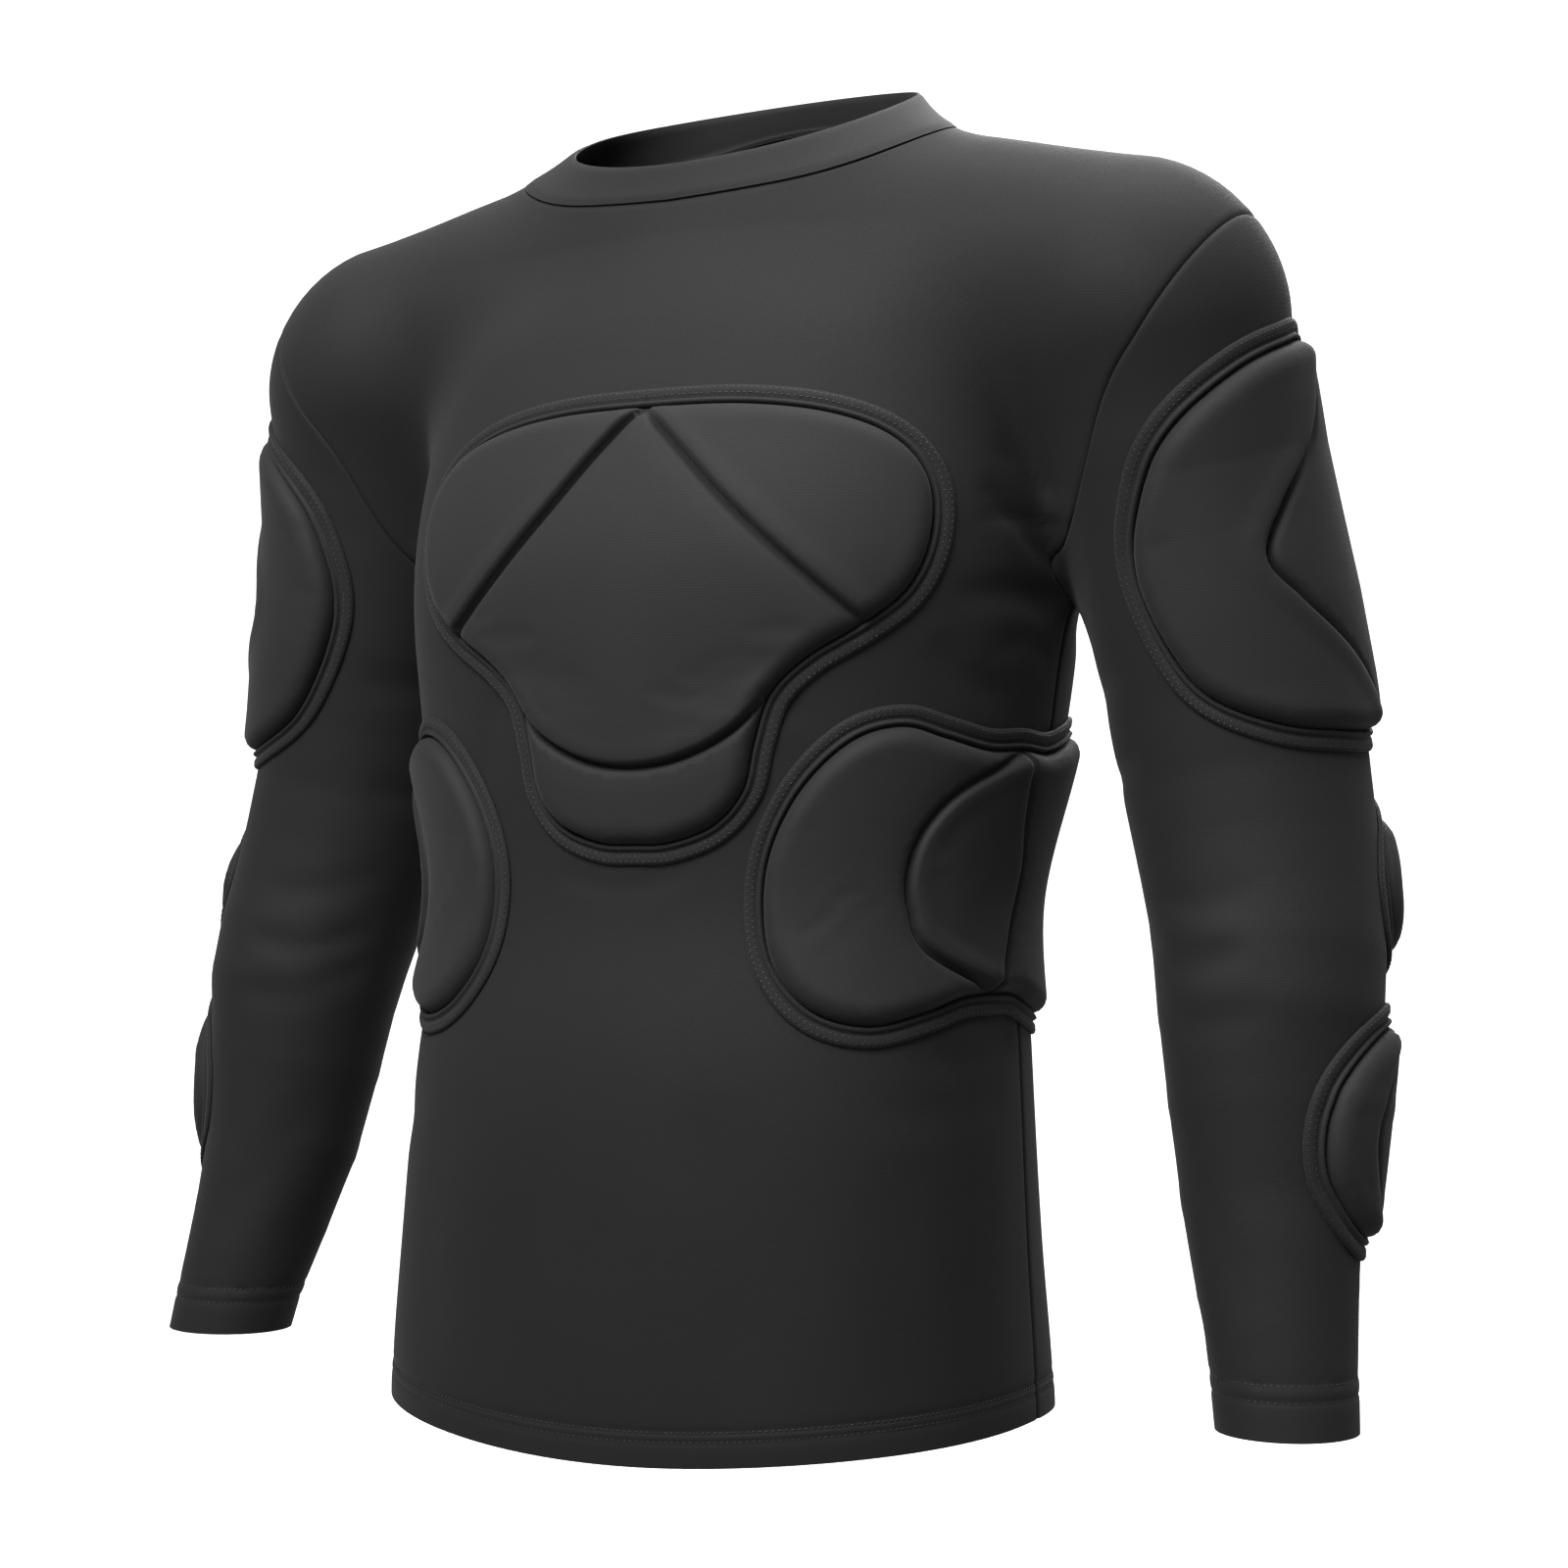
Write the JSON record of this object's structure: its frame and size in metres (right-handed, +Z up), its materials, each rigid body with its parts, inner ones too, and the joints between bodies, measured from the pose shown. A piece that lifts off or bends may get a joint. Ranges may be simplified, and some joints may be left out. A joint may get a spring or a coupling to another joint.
{
  "type": "padded compression shirt",
  "caption": "Long-sleeved crew-neck compression shirt, hollow as worn, with bound foam pads on chest, ribs, upper arms, elbows and forearms.",
  "frame": {"origin": "halfway between the neck's two shoulder points, at the height where the neck meets the shoulder ridge: the wearer's shoulders hold the shirt up there", "axes": "+Z up, -Y to the shirt's front, +X to the wearer's left"},
  "size_m": [0.6824, 0.2915, 0.6906],
  "materials": {
    "knit_charcoal": "matte stretch knit",
    "pad_face_charcoal": "matte stretch knit over foam",
    "binding_charcoal": "matte folded tape"
  },
  "bodies": {
    "root": {"back": "knit_charcoal", "front": "knit_charcoal", "collar": "knit_charcoal", "sleeve_left": "knit_charcoal", "sleeve_right": "knit_charcoal", "chest_pad": "pad_face_charcoal", "chest_binding": "binding_charcoal", "rib_pad_left": "pad_face_charcoal", "rib_binding_left": "binding_charcoal", "rib_pad_right": "pad_face_charcoal", "rib_binding_right": "binding_charcoal", "upper_arm_pad_left": "pad_face_charcoal", "upper_arm_binding_left": "binding_charcoal", "upper_arm_pad_right": "pad_face_charcoal", "upper_arm_binding_right": "binding_charcoal", "elbow_pad_left": "pad_face_charcoal", "elbow_binding_left": "binding_charcoal", "elbow_pad_right": "pad_face_charcoal", "elbow_binding_right": "binding_charcoal", "forearm_pad_left": "pad_face_charcoal", "forearm_binding_left": "binding_charcoal", "forearm_pad_right": "pad_face_charcoal", "forearm_binding_right": "binding_charcoal"}
  },
  "joints": []
}
